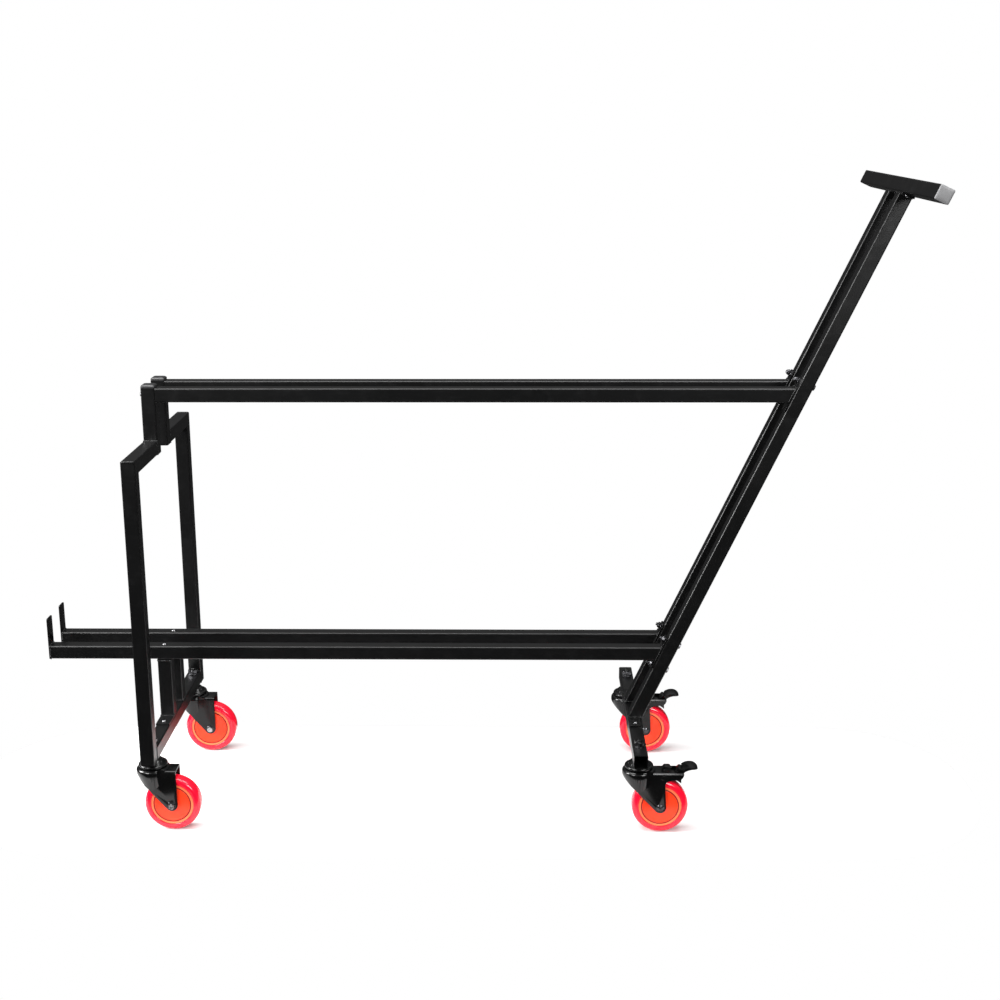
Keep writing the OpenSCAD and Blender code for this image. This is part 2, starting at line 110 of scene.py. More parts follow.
def powderCoat(name, roughness=None, grain=None):
    base = roughness or coat["roughness"]
    finish = Finish(name, **{"Specular IOR Level": 0.4})
    peel = finish.noise(grain or coat["grain"], 2.0, 0.45)
    cloud = finish.noise(9.0, 4.0, 0.6)
    specks = finish.noise(2600.0, 1.0, 0.5).ramp(0.66, 0.74)
    film = finish.noise(38.0, 5.0, 0.65).ramp(0.5, 0.8)
    drag = finish.noise(60.0, 4.0, 0.6, finish.stretched(0.25, 4.0, 4.0)).ramp(0.58, 0.70)
    finish.feed(Base_Color=finish.mix((film * 0.4 + specks * 0.25 + drag * 0.15).clamped(), coat["colour"], coat["dusty"]))
    finish.feed(Roughness=(base + (cloud - 0.5) * 0.10 + film * 0.06 + drag * 0.05).clamped(0.05, 1))
    return finish.relief(peel + specks * 0.3, 0.06, 0.00006)


castorCoatLook = {"colour": (0.0016, 0.0016, 0.0017), "worn": (0.0052, 0.0052, 0.0055), "roughness": 0.17}


def castorBlack():
    look = castorCoatLook
    finish = Finish("castorBlack", **{"Specular IOR Level": 0.36})
    lines = finish.noise(220.0, 3.0, 0.6, finish.stretched(1.0, 1.0, 6.0))
    cloud = finish.noise(22.0, 3.0, 0.55)
    rub = finish.noise(90.0, 5.0, 0.7).ramp(0.6, 0.78)
    finish.feed(Base_Color=finish.mix((cloud.ramp(0.45, 0.8) * 0.4 + rub * 0.4).clamped(), look["colour"], look["worn"]))
    finish.feed(Roughness=(look["roughness"] + (cloud - 0.5) * 0.12 + lines * 0.05 + rub * 0.08).clamped(0.05, 1))
    return finish.relief(lines * 0.4 + finish.noise(700.0, 2.0), 0.10, 0.0001)


def mouldedPlastic(name, dark, light, roughness, grain=1500.0):
    finish = Finish(name, **{"Specular IOR Level": 0.45})
    pores = finish.noise(grain, 3.0, 0.6)
    cloud = finish.noise(40.0, 4.0, 0.6)
    scuff = finish.noise(260.0, 5.0, 0.7).ramp(0.6, 0.8)
    finish.feed(Base_Color=finish.mix((cloud.ramp(0.35, 0.75) * 0.8 + scuff * 0.2).clamped(), dark, light))
    finish.feed(Roughness=(roughness + (pores - 0.5) * 0.2 + scuff * 0.08).clamped(0.05, 1))
    return finish.relief(pores, 0.3, 0.0001)


def platedSteel(name, bright, dull, roughness):
    finish = Finish(name, Metallic=1.0)
    cloud = finish.noise(160.0, 4.0, 0.6)
    fine = finish.noise(1800.0, 2.0, 0.5)
    turned = finish.noise(500.0, 2.0, 0.5, finish.stretched(1.0, 1.0, 8.0))
    finish.feed(Base_Color=finish.mix(cloud.ramp(0.4, 0.75), bright, dull))
    finish.feed(Roughness=(roughness + cloud * 0.14 + (fine - 0.5) * 0.08 + (turned - 0.5) * 0.08).clamped(0.05, 1))
    return finish.relief(fine + turned * 0.6, 0.1, 0.00008)


tyreLook = {"red": (0.90, 0.0040, 0.026), "deep": (0.80, 0.0030, 0.020), "roughness": 0.17}


def tyreRed():
    look = tyreLook
    finish = Finish("tyreRed", **{"Specular IOR Level": 0.35, "Coat Roughness": 0.10})
    cloud = finish.noise(26.0, 4.0, 0.6)
    scuff = finish.noise(240.0, 5.0, 0.7).ramp(0.60, 0.80)
    finish.feed(Base_Color=finish.mix((cloud.ramp(0.35, 0.75) * 0.4 + scuff * 0.12).clamped(), look["red"], look["deep"]))
    finish.feed(Roughness=(look["roughness"] + scuff * 0.22 + (cloud - 0.5) * 0.06).clamped(0.05, 1))
    finish.feed(Coat_Weight=(0.38 - scuff * 0.3).clamped())
    return finish.relief(scuff * 0.4 + finish.noise(500.0, 2.0), 0.05, 0.0001)


def mouldedOrange(name, first, second, roughness):
    finish = Finish(name, **{"Specular IOR Level": 0.3})
    cloud = finish.noise(40.0, 3.0, 0.55)
    swirl = finish.noise(420.0, 3.0, 0.6)
    finish.feed(Base_Color=finish.mix(cloud.ramp(0.3, 0.7) * 0.7, first, second))
    finish.feed(Roughness=(roughness + (swirl - 0.5) * 0.12 + (cloud - 0.5) * 0.06).clamped(0.05, 1))
    return finish.relief(swirl, 0.06, 0.0001)


frameCoat = powderCoat("frameCoat")
plateCoat = powderCoat("plateCoat", 0.27, 1200.0)
weldCoat = powderCoat("weldCoat", 0.30, 700.0)
castorCoat = castorBlack()
capBlack = mouldedPlastic("capBlack", (0.010, 0.010, 0.0105), (0.020, 0.020, 0.021), 0.36)
capGrey = mouldedPlastic("capGrey", (0.13, 0.13, 0.133), (0.19, 0.19, 0.194), 0.45, 1300.0)
screwZinc = platedSteel("screwZinc", (0.16, 0.16, 0.165), (0.08, 0.08, 0.08), 0.14)
axleZinc = platedSteel("axleZinc", (0.46, 0.46, 0.47), (0.26, 0.26, 0.26), 0.16)
blackZinc = platedSteel("blackZinc", (0.085, 0.085, 0.09), (0.030, 0.030, 0.032), 0.18)
tyreFinish = tyreRed()
hubFinish = mouldedOrange("hubOrange", (0.94, 0.050, 0.012), (0.90, 0.032, 0.008), 0.22)
rimFinish = mouldedOrange("rimOrange", (0.95, 0.185, 0.070), (0.93, 0.15, 0.056), 0.28)
# the groove's red is darkened well below the hub's to paint in the shade that falls inside the recess
grooveShadeFinish = mouldedOrange("grooveRed", (0.26, 0.005, 0.004), (0.20, 0.004, 0.003), 0.6)
print("finishes made")


def finishMesh(mesh, sharp=35.0):
    for face in mesh.polygons:
        face.use_smooth = True
    mesh.set_sharp_from_angle(angle=math.radians(sharp))
    return mesh


def addPiece(name, mesh, body, *replaced):
    piece = bpy.data.objects.new(name, mesh)
    bpy.context.scene.collection.objects.link(piece)
    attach(piece, body)
    if replaced:
        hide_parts(*replaced)
    return piece


def reach(shape, angle):
    # radius of a ring at an angle: a number, a hexagon cut off by a circle, or a rounded square
    if isinstance(shape, (int, float)):
        return shape
    kind, size, extra = shape
    if kind == "hex":
        return min(size / 2 / math.cos((angle + math.pi / 6) % (math.pi / 3) - math.pi / 6), extra)
    along, across = abs(math.cos(angle)), abs(math.sin(angle))
    flat = size / max(along, across)
    inner = size - extra
    if flat * min(along, across) <= inner:
        return flat
    middle = inner * (along + across)
    return middle + math.sqrt(max(middle ** 2 - (2 * inner ** 2 - extra ** 2), 0))


def turned(rings, segments=48, place=Matrix(), closed=False):
    # rings of (shape, height in mm, material index of the band up to the next ring)
    shell = bmesh.new()
    rows = []
    for ring in rings:
        shape, height = ring[0], ring[1]
        if shape == 0:
            rows.append([shell.verts.new(place @ Vector((0, 0, height * mm)))] * segments)
            continue
        row = []
        for step in range(segments):
            angle = 2 * math.pi * step / segments
            radius = reach(shape, angle) * mm
            row.append(shell.verts.new(place @ Vector((radius * math.cos(angle), radius * math.sin(angle), height * mm))))
        rows.append(row)
    pairs = list(zip(rows, rows[1:], rings)) + ([(rows[-1], rows[0], rings[-1])] if closed else [])
    for low, high, ring in pairs:
        for step in range(segments):
            following = (step + 1) % segments
            corners = list(dict.fromkeys((low[step], low[following], high[following], high[step])))
            if len(corners) > 2:
                shell.faces.new(corners).material_index = ring[2] if len(ring) > 2 else 0
    bmesh.ops.remove_doubles(shell, verts=shell.verts, dist=1e-7)
    bmesh.ops.recalc_face_normals(shell, faces=shell.faces)
    return shell


def toMesh(shells, name, materials, sharp=35.0):
    joined = bpy.data.meshes.new(name)
    whole = bmesh.new()
    for shell in shells:
        part = bpy.data.meshes.new("part")
        shell.to_mesh(part)
        whole.from_mesh(part)
        shell.free()
        bpy.data.meshes.remove(part)
    whole.to_mesh(joined)
    whole.free()
    for material in materials:
        joined.materials.append(material)
    return finishMesh(joined, sharp)


def lie(point, axis):
    # places a turned piece with its own Z along axis
    return Matrix.Translation(Vector(point)) @ Vector(axis).to_track_quat("Z", "Y").to_matrix().to_4x4()


def soften(names, width, sharp=32.0, segments=2, material=None, body="frame"):
    # a CAD node's own shape with its hard edges eased
    for name in names:
        shell = bmesh.new()
        shell.from_mesh(nodes[name].data)
        bmesh.ops.remove_doubles(shell, verts=shell.verts, dist=2e-6)
        bmesh.ops.dissolve_limit(shell, angle_limit=math.radians(0.4), verts=shell.verts, edges=shell.edges)
        raw = bpy.data.meshes.new(name + "Eased")
        shell.to_mesh(raw)
        shell.free()
        helper = bpy.data.objects.new(name + "Helper", raw)
        bpy.context.scene.collection.objects.link(helper)
        ease = helper.modifiers.new("ease", "BEVEL")
        ease.limit_method, ease.angle_limit = "ANGLE", math.radians(sharp)
        ease.width, ease.segments, ease.use_clamp_overlap = width * mm, segments, True
        ease.harden_normals = True
        for face in raw.polygons:
            face.use_smooth = True
        mesh = bpy.data.meshes.new_from_object(helper.evaluated_get(bpy.context.evaluated_depsgraph_get()))
        helper.modifiers.clear()
        bpy.data.objects.remove(helper)
        mesh.name = name + "Eased"
        mesh.materials.clear()
        mesh.materials.append(material)
        for face in mesh.polygons:
            face.material_index = 0
        addPiece(name + "Eased", mesh, body, name)


class Tree:
    def __init__(self, name, **inputs):
        self.group = bpy.data.node_groups.new(name, "GeometryNodeTree")
        self.group.interface.new_socket("Geometry", in_out="INPUT", socket_type="NodeSocketGeometry")
        for key, kind in inputs.items():
            self.group.interface.new_socket(key, in_out="INPUT", socket_type="NodeSocket" + kind)
        self.group.interface.new_socket("Geometry", in_out="OUTPUT", socket_type="NodeSocketGeometry")
        self.source = self.group.nodes.new("NodeGroupInput")

    def given(self, key):
        return self.source.outputs[key]

    def add(self, kind, settings=None, values=None, out=0):
        node = self.group.nodes.new(kind)
        for key, value in (settings or {}).items():
            setattr(node, key, value)
        for key, value in (values or {}).items():
            if isinstance(value, bpy.types.NodeSocket):
                self.group.links.new(value, node.inputs[key])
            else:
                node.inputs[key].default_value = value
        return node.outputs[out]

    def grow(self, geometry, material, seed, **values):
        solid = self.add("GeometryNodeRealizeInstances", {}, {0: geometry})
        painted = self.add("GeometryNodeSetMaterial", {}, {"Geometry": solid, "Material": material})
        self.group.links.new(painted, self.group.nodes.new("NodeGroupOutput").inputs[0])
        holder = bpy.data.objects.new(self.group.name + "Seed", seed)
        bpy.context.scene.collection.objects.link(holder)
        grower = holder.modifiers.new("grow", "NODES")
        grower.node_group = self.group
        for item in self.group.interface.items_tree:
            if item.in_out == "INPUT" and item.name in values:
                grower[item.identifier] = values[item.name]
        mesh = bpy.data.meshes.new_from_object(holder.evaluated_get(bpy.context.evaluated_depsgraph_get()))
        holder.modifiers.clear()
        bpy.data.objects.remove(holder)
        return mesh


def pointSeed(name, places):
    # one vertex for each place, with the way it points
    seed = bpy.data.meshes.new(name)
    seed.from_pydata([tuple(point) for point, axis in places], [], [])
    pointing = seed.attributes.new("pointing", "FLOAT_VECTOR", "POINT")
    for item, (point, axis) in zip(pointing.data, places):
        item.vector = tuple(axis)
    return seed


def setOut(name, template, places, material, body, *replaced):
    # copies of a template standing at places
    model = bpy.data.objects.new(name + "Model", template)
    bpy.context.scene.collection.objects.link(model)
    tree = Tree(name, Template="Object", Size="Float")
    pointing = tree.add("GeometryNodeInputNamedAttribute", {"data_type": "FLOAT_VECTOR"}, {"Name": "pointing"})
    turn = tree.add("FunctionNodeAlignRotationToVector", {"axis": "Z"}, {"Vector": pointing})
    shape = tree.add("GeometryNodeObjectInfo", {}, {"Object": tree.given("Template")}, "Geometry")
    copies = tree.add("GeometryNodeInstanceOnPoints", {}, {"Points": tree.given("Geometry"), "Instance": shape,
                                                          "Rotation": turn, "Scale": tree.given("Size")})
    mesh = tree.grow(copies, material, pointSeed(name, places), Template=model, Size=1.0)
    bpy.data.objects.remove(model)
    mesh.name = name
    return addPiece(name, finishMesh(mesh, 30.0), body, *replaced)


def paint(name, material):
    for part in nodes[name].material_slots:
        part.material = material


cart = {"middle": 557.836, "wheelbase": 867.0, "stemY": 172.0, "railY": 37.5, "lean": 24.8,
        "leanX": 854.5, "footTop": 164.0, "wheelRadius": 50.0, "frontTrail": 33.0, "rearTrail": 38.0,
        "postRun": 1050.918, "upperSeat": 664.78, "lowerSeat": 136.06}
leanTurn = math.radians(cart["lean"])
leanUp = Vector((math.sin(leanTurn), 0, math.cos(leanTurn)))
leanOut = Vector((-math.cos(leanTurn), 0, math.sin(leanTurn)))
castors = {"fl": (0.0, -1, cart["frontTrail"]), "fr": (0.0, 1, cart["frontTrail"]),
           "rl": (cart["wheelbase"], -1, cart["rearTrail"]), "rr": (cart["wheelbase"], 1, cart["rearTrail"])}


def at(x, y, z):
    return Vector(((x - cart["middle"]) * mm, y * mm, z * mm))


def onLean(along, y, up):
    # a point on the leaning frame: along is out from its front face, up runs along the posts
    return at(cart["leanX"], y, cart["footTop"]) + leanOut * (along * mm) + leanUp * (up * mm)


tyre = {"width": 28.0, "bore": 38.0, "shoulder": 8.0, "partingLine": 0.12, "segments": 144}
hub = {"faceHeight": 13.2, "bossRadius": 12.0, "bossHeight": 15.0, "grooveRadius": 31.85, "grooveWidth": 2.0, "bore": 4.08}


def tyreRings():
    half, big, bead = tyre["width"] / 2, cart["wheelRadius"] - 0.02, tyre["bore"]
    side = [(bead + 0.02, half - 0.75), (bead + 0.25, half - 0.35), (bead + 0.75, half - 0.08), (bead + 1.4, half - 0.02),
            (bead + 2.1, half - 0.22), (bead + 2.5, half - 0.22), (bead + 3.1, half - 0.02)]
    centre = (big - tyre["shoulder"], half - tyre["shoulder"])
    for step in range(0, 13):
        turn = math.pi / 2 * (1 - step / 12)
        side.append((centre[0] + tyre["shoulder"] * math.cos(turn) - (0.1 if step else 0),
                     centre[1] + tyre["shoulder"] * math.sin(turn)))
    side += [(big - 0.08, 3.0), (big - tyre["partingLine"], 0.55), (big - 0.01, 0.28)]
    return side[::-1]


def tyrePiece(name, x, sign, trail):
    half = tyreRings()
    rings = [(r, h) for r, h in half[::-1]] + [(r, -h) for r, h in half]
    shell = turned(rings, tyre["segments"], lie(at(x + trail, sign * cart["stemY"], cart["wheelRadius"]), (0, 1, 0)), closed=True)
    addPiece(name + "TyreRing", toMesh([shell], name + "TyreRing", [tyreFinish], 50.0), name + "_wheel", name + "_tyre")


def hubPiece(name, x, sign, trail):
    face, groove, wide = hub["faceHeight"], hub["grooveRadius"], hub["grooveWidth"]
    boss, top = hub["bossRadius"], hub["bossHeight"]
    half = [(hub["bore"], top, 0), (boss - 3.6, top, 0), (boss - 3.2, top - 0.25, 0), (boss - 2.6, top - 0.25, 0),
            (boss - 2.2, top, 0), (boss - 1.0, top - 0.05, 0), (boss - 0.3, top - 0.4, 0), (boss, top - 1.0, 0),
            (boss + 0.25, face + 0.1, 0), (boss + 1.2, face - 0.16, 0), (boss + 6, face - 0.34, 0), (boss + 14, face - 0.34, 0),
            (groove - 1.6, face - 0.12, 0), (groove - 0.5, face - 0.12, 0), (groove - 0.1, face - 0.4, 2), (groove, face - 1.1, 2),
            (groove + wide, face - 1.1, 2), (groove + wide + 0.1, face - 0.3, 1), (groove + wide + 0.6, face - 0.02, 1),
            (tyre["bore"] - 1.1, face - 0.02, 1), (tyre["bore"] - 0.25, face - 0.3, 1), (tyre["bore"] - 0.02, face - 0.9, 0)]
    mirrored = []
    for index in range(len(half) - 1, -1, -1):
        mirrored.append((half[index][0], -half[index][1], half[index - 1][2] if index else 0))
    shell = turned([*half, *mirrored], 144, lie(at(x + trail, sign * cart["stemY"], cart["wheelRadius"]), (0, 1, 0)), closed=True)
    # the third finish, on the groove band, is the red darkened with painted shade
    mesh = toMesh([shell], name + "HubDisc", [hubFinish, rimFinish, grooveShadeFinish], 40.0)
    addPiece(name + "HubDisc", mesh, name + "_wheel", name + "_hub")


for name, (x, sign, trail) in castors.items():
    tyrePiece(name, x, sign, trail)
    hubPiece(name, x, sign, trail)
print("wheels turned")

head = {"raceRadius": 25.7, "raceBottom": 120.6, "top": 136.0, "stem": 5.0, "stemEnd": 173.4, "pitch": 1.25, "lockDents": 9}


def headPiece(name, x, sign):
    low, wide = head["raceBottom"], head["raceRadius"]
    rings = [(0, 109.0), (8.5, 109.0), (9.0, 109.5), (9.0, 111.9), (8.5, 112.4), (head["stem"], 112.4), (head["stem"], low),
             (wide - 4.4, low), (wide - 2.4, low + 0.2), (wide - 0.9, low + 1.0), (wide - 0.15, low + 2.2), (wide, low + 3.2),
             (wide - 0.15, low + 4.3), (wide - 0.8, low + 5.3), (wide - 1.9, low + 6.0), (wide - 3.2, low + 6.25),
             (wide - 3.7, low + 5.8), (wide - 4.3, low + 5.9), (wide - 4.9, low + 6.6), (wide - 6.4, low + 8.3),
             (wide - 8.2, low + 10.6), (wide - 9.8, low + 12.2), (wide - 11.4, low + 13.1), (12.6, low + 13.35),
             (12.1, low + 13.8), (12.0, head["top"] - 0.3), (11.7, head["top"]), (head["stem"], head["top"])]
    height = 165.0
    rings.append((head["stem"], height))
    while height < head["stemEnd"] - 1.2:
        rings += [(head["stem"] - 0.45, height + head["pitch"] * 0.25), (head["stem"] - 0.45, height + head["pitch"] * 0.4),
                  (head["stem"], height + head["pitch"] * 0.7), (head["stem"], height + head["pitch"])]
        height += head["pitch"]
    rings += [(head["stem"] - 0.8, head["stemEnd"] - 0.1), (head["stem"] - 1.4, head["stemEnd"]), (0, head["stemEnd"])]
    shell = turned(rings, 96, lie(at(x, sign * cart["stemY"], 0), (0, 0, 1)))
    addPiece(name + "Head", toMesh([shell], name + "Head", [castorCoat], 32.0), "frame", name + "_head")


def lockDents(x, sign):
    # small pressed bosses that close the ball race
    places = []
    for step in range(head["lockDents"]):
        turn = 2 * math.pi * (step + 0.5) / head["lockDents"]
        outward = Vector((math.cos(turn), math.sin(turn), 0))
        places.append((at(x, sign * cart["stemY"], head["raceBottom"] + 9.0) + outward * 18.1 * mm,
                       outward * 0.75 + Vector((0, 0, 0.66))))
    return places


dentTemplate = toMesh([turned([(0, -1.2), (2.4, -1.2), (2.3, -0.1), (1.9, 0.45), (1.2, 0.8), (0.5, 0.95), (0, 1.0)], 20)], "dent", [castorCoat])
dents = []
for name, (x, sign, trail) in castors.items():
    headPiece(name, x, sign)
    dents += lockDents(x, sign)
setOut("raceDents", dentTemplate, dents, castorCoat, "frame")
print("castor heads turned")

edges = {"fork": 0.7, "pedal": 0.6, "fittings": 0.35, "plate": 0.45, "stop": 0.5}
for name in castors:
    soften([name + "_fork"], edges["fork"], material=castorCoat, body=name + "_swivel")
for name in ("rl", "rr"):
    soften([name + "_pedal"], edges["pedal"], material=castorCoat, body=name + "_brake")
    soften([name + "_brake_fittings"], edges["fittings"], material=castorCoat, body=name + "_swivel")
soften([n for n in nodes if "flange" in n or n.startswith("rear_foot") or n == "bar_plate"], edges["plate"], material=plateCoat)
soften(["stop_l", "stop_r"], edges["stop"], material=plateCoat)
print("pressed parts eased")

caps = {"corner": 2.5, "postHalf": 12.5, "postLip": 1.2, "barHalf": 12.5}


def squareRings(half, steps):
    return [(("square", half - inset, max(caps["corner"] + extra, 0.6)), height) for inset, extra, height in steps]


def capPieces():
    shells = []
    for sign in (-1, 1):
        steps = [(0.55, 0, 0.0), (0.05, 0, 0.35), (0.0, 0, 3.2), (0.12, 0, 3.7), (0.5, 0, 4.2), (1.9, 0.2, 5.5),
                 (2.5, 0.4, 5.9), (3.6, 0.2, 6.2), (6.0, -0.4, 6.42), (9.5, -0.8, 6.5)]
        rings = squareRings(caps["postHalf"], steps)
        shells.append(turned([(("square", 10.9, 1.2), -14.0), (("square", 10.9, 1.2), 0.0), *rings, (0, 6.5)], 128,
                             Matrix.Translation(at(0, sign * cart["railY"], 780))))
    addPiece("postCapPair", toMesh(shells, "postCapPair", [capBlack], 35.0), "frame", "post_caps")
    shells = []
    for sign in (-1, 1):
        steps = [(0.35, 0, 0.0), (0.0, 0, 0.3), (0.0, 0, 1.2), (0.35, 0.3, 1.9), (1.1, 0.8, 2.45), (2.3, 1.4, 2.8), (4.5, 1.4, 2.95), (9.0, 0.6, 3.0)]
        rings = squareRings(caps["barHalf"], steps)
        place = Matrix.Translation(onLean(-12.5, sign * 265, cart["postRun"] + 12.5)) @ Matrix(
            ((leanUp.x, -leanOut.x, 0), (0, 0, sign), (leanUp.z, -leanOut.z, 0))).to_4x4()
        shells.append(turned([(("square", 10.9, 1.2), -12.0), (("square", 10.9, 1.2), 0.0), *rings, (0, 3.0)], 128, place))
    addPiece("barCapPair", toMesh(shells, "barCapPair", [capGrey], 35.0), "frame", "bar_caps")


capPieces()
print("caps formed")

screw = {"headRadius": 4.6, "headHeight": 3.0, "socket": 3.4, "depth": 1.7, "shank": 2.5}
nut = {"across": 10.0, "height": 5.0, "stud": 3.0, "washer": 6.0, "washerHeight": 1.2}
stemNut = {"across": 17.0, "height": 8.0, "washer": 10.2, "washerHeight": 1.6}


def domeRings(radius, height, low=0.0, steps=7):
    ball = (radius ** 2 + height ** 2) / 2 / height
    return [(math.sqrt(max(ball ** 2 - (low + h - (low + height - ball)) ** 2, 0)), low + h)
            for h in (height * (step / steps) ** 0.8 for step in range(steps))]


def socketHead(radius, height, shank, length, socket, depth):
    rings = [(0, -length), (shank - 0.6, -length), (shank, -length + 0.6), (shank, 0.0), (radius - 0.2, 0.0)]
    rings += [(r, h) for r, h in domeRings(radius, height) if r > socket * 0.62 and h > 0.02]
    rim = rings[-1][1]
    rings += [(("hex", socket, socket * 0.62), min(rim + 0.12, height)), (("hex", socket, socket * 0.6), rim - 0.1),
              (("hex", socket * 0.98, socket * 0.6), height - depth), (0.4, height - depth - 0.5), (0, height - depth - 0.5)]
    return turned(rings, 48)


def hexRings(across, low, high):
    corner = across / 2 / math.cos(math.pi / 6)
    return [(across * 0.46, low), (("hex", across, across * 0.505), low + 0.02), (("hex", across, corner + 1), low + corner * 0.09),
            (("hex", across, corner + 1), high - corner * 0.09), (("hex", across, across * 0.505), high - 0.02), (across * 0.44, high)]


def threadRings(radius, low, high, pitch=1.0):
    rings, height = [(radius, low)], low
    while height + pitch < high - 0.5:
        rings += [(radius - 0.35, height + pitch * 0.3), (radius, height + pitch * 0.65), (radius, height + pitch)]
        height += pitch
    return rings + [(radius - 0.1, high - 0.5), (radius - 0.6, high), (0, high)]


def screwPieces():
    height = cart["postRun"] - 3
    long = toMesh([socketHead(screw["headRadius"], screw["headHeight"], screw["shank"], 28, screw["socket"], screw["depth"])], "longScrew", [screwZinc], 30)
    short = toMesh([socketHead(screw["headRadius"], screw["headHeight"], screw["shank"], 7.5, screw["socket"], screw["depth"])], "shortScrew", [screwZinc], 30)
    setOut("railScrews", long, [(at(0, s * cart["railY"], 300), (0, 0, 1)) for s in (-1, 1)], screwZinc, "frame")
    feet = [(at(x, s * 76, 164), (0, 0, 1)) for x in (0, cart["wheelbase"]) for s in (-1, 1)]
    under = [(onLean(-12.5, y, height), tuple(-leanUp)) for y in (-59, 0, 59)]
    setOut("footAndBarScrews", short, feet + under, screwZinc, "frame", "screws")
    hanger = toMesh([socketHead(4.6, 4.3, 3.0, 32, 3.6, 2.0)], "hanger", [blackZinc], 30)
    setOut("hangerScrews", hanger, [(at(-12.5, s * cart["railY"], 767.5), (-1, 0, 0)) for s in (-1, 1)], blackZinc, "frame", "hanger_bolts")


def boltTemplate(name, domed):
    # stands on the front face of a flange plate
    washer = [(0, 0.0), (nut["washer"] - 0.2, 0.0), (nut["washer"], 0.2), (nut["washer"], 1.0), (nut["washer"] - 0.25, 1.2), (0, 1.2)]
    low = nut["washerHeight"]
    high = low + nut["height"] - (0.5 if domed else 0)
    body = [(0, low), *hexRings(nut["across"], low, high)]
    if domed:
        body += [(r, h) for r, h in domeRings(4.5, 4.5, high) if h > high + 0.05] + [(0, high + 4.5)]
    else:
        body += [(nut["stud"], high - 0.1), *threadRings(nut["stud"], high, 10.0)[1:]]
    back = -25.0 - 3.0
    tail = [(0, back - 4.0), (4.0, back - 4.0), *[(s, h) for s, h in hexRings(nut["across"], back - 4.0, back)][1:], (3.0, back + 0.02), (3.0, -0.1), (0, -0.1)]
    return toMesh([turned(washer, 48), turned(body, 48), turned(tail, 48)], name, [blackZinc], 30)


def flangeBolts():
    flange = 2 * 25 / math.cos(leanTurn) + 9
    bolt = flange / 2 - 6.2
    upper = [(onLean(3.0, s * cart["railY"], cart["upperSeat"] + bolt), tuple(leanOut)) for s in (-1, 1)]
    lower = [(onLean(3.0, s * cart["railY"], cart["lowerSeat"] + way * bolt), tuple(leanOut)) for s in (-1, 1) for way in (-1, 1)]
    setOut("upperBoltSet", boltTemplate("domedBolt", True), upper, blackZinc, "frame", "upper_bolts")
    setOut("lowerBoltSet", boltTemplate("studBolt", False), lower, blackZinc, "frame", "lower_bolts")


def stemNuts():
    low = stemNut["washerHeight"]
    washer = [(5.1, 0.0), (stemNut["washer"] - 0.25, 0.0), (stemNut["washer"], 0.25), (stemNut["washer"], low - 0.3),
              (stemNut["washer"] - 0.3, low), (5.1, low)]
    body = [(5.0, low), *hexRings(stemNut["across"], low, low + stemNut["height"]), (5.6, low + stemNut["height"]), (5.0, low + stemNut["height"] - 0.6)]
    template = toMesh([turned(washer, 60, closed=True), turned(body, 60, closed=True)], "stemNut", [blackZinc], 30)
    places = [(at(x, sign * cart["stemY"], 161), (0, 0, 1)) for x, sign, trail in castors.values()]
    setOut("stemNutSet", template, places, blackZinc, "frame", "stem_nuts")


def axlePiece(name, x, sign, trail):
    centre = at(x + trail, sign * cart["stemY"], cart["wheelRadius"])
    front = name.startswith("f")
    shells = [turned([(0, -18.6), (4.0, -18.6), (4.0, 18.6), (0, 18.6)], 48, lie(centre, (0, 1, 0)))]
    for way in (-1, 1):
        if front:
            washer = [(0, 18.5), (6.9, 18.5), (7.2, 18.75), (7.2, 19.4), (6.9, 19.7), (0, 19.7)]
            body = [(0, 19.7), *hexRings(10.0, 19.7, 24.3), (3.1, 24.25), (3.0, 23.6), (2.2, 23.5), (0, 23.5)]
            shells += [turned(washer, 48, lie(centre, (0, way, 0))), turned(body, 48, lie(centre, (0, way, 0)))]
        else:
            rings = [(0, 18.5), (6.8, 18.5), *[(r, h) for r, h in domeRings(7.0, 3.0, 18.5) if r > 2.4], (2.2, 21.35), (1.8, 21.0), (0, 20.9)]
            shells.append(turned(rings, 48, lie(centre, (0, way, 0))))
    for shell in shells[2::2] if front else ():
        for face in shell.faces:
            face.material_index = 1
    mesh = toMesh(shells, name + "AxleBolt", [blackZinc, axleZinc], 30)
    addPiece(name + "AxleBolt", mesh, name + "_swivel", name + "_axle")


screwPieces()
flangeBolts()
stemNuts()
for name, (x, sign, trail) in castors.items():
    axlePiece(name, x, sign, trail)
print("fasteners set out")

weld = {"pitch": 1.1, "width": 0.85, "seed": 7, "dressedRadius": 1.6, "dressedLength": 22.0}


def weldPaths():
    paths = []
    for sign in (-1, 1):
        low, high = sorted((sign * 25.0, sign * 50.0))
        upright = [(-12.5, low), (12.5, low), (12.5, high), (-12.5, high)]
        paths.append([at(x, sign * 187.3, z) for x, z in ((-12.5, 136), (12.5, 136), (12.5, 161), (-12.5, 161))])
        paths.append([at(x, sign * 50.2, z) for x, z in ((-12.5, 661), (12.5, 661), (12.5, 686), (-12.5, 686))])
        for z in (164.2, 271.8):
            paths.append([at(x, y, z) for x, y in upright])
        paths.append([at(-208.8, y, z) for y, z in ((low, 275), (high, 275), (high, 300), (low, 300))])
        reachOut = 25 / math.cos(leanTurn)
        paths.append([at(cart["leanX"] + x, y, 164.2) for x, y in ((0, low), (reachOut, low), (reachOut, high), (0, high))])
        paths.append([onLean(-x, y, cart["postRun"] - 3.2) for x, y in ((0, low), (25, low), (25, high), (0, high))])
        for seat in (cart["upperSeat"], cart["lowerSeat"]):
            rise = 12.5 / math.cos(leanTurn)
            paths.append([onLean(3.2, y, seat + up) for y, up in ((low, -rise), (high, -rise), (high, rise), (low, rise))])
    return paths


